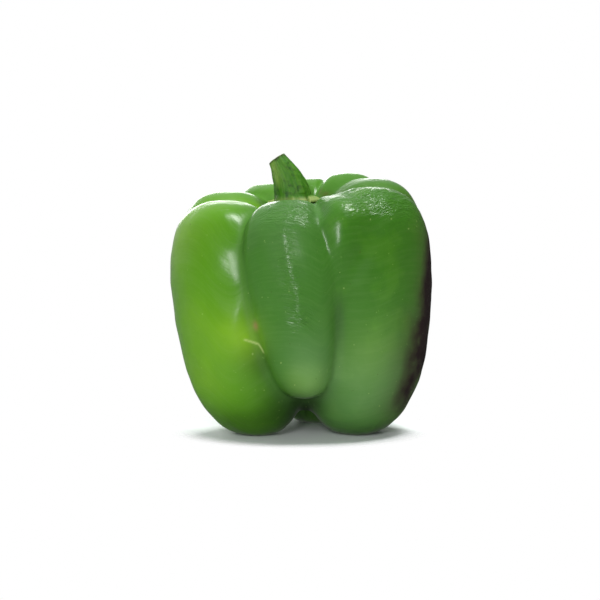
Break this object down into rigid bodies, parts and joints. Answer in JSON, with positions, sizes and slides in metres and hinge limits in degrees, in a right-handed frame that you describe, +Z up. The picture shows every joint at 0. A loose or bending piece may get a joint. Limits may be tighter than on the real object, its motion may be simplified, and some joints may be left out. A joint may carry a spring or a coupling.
{
  "type": "bell pepper",
  "caption": "Fresh green bell pepper with swollen lobes, rounded feet and a slanting cut stem in its hollow crown, standing upright.",
  "frame": {"origin": "on the surface that the pepper stands on, under the middle of its bounding box", "axes": "+Z up along the fruit's axis towards the stem; -Y is the front, where the shorter lobe hangs between the two front feet; +X to the right seen from the front"},
  "size_m": [0.0876, 0.086, 0.0931],
  "materials": {
    "skin": "smooth waxy pepper skin, glossy, with faint wrinkles and specks",
    "stem": "ribbed fibrous green stem, satin, with a dull cut end"
  },
  "bodies": {
    "root": {"fruit": "skin", "stem_and_calyx": "stem"}
  },
  "joints": []
}
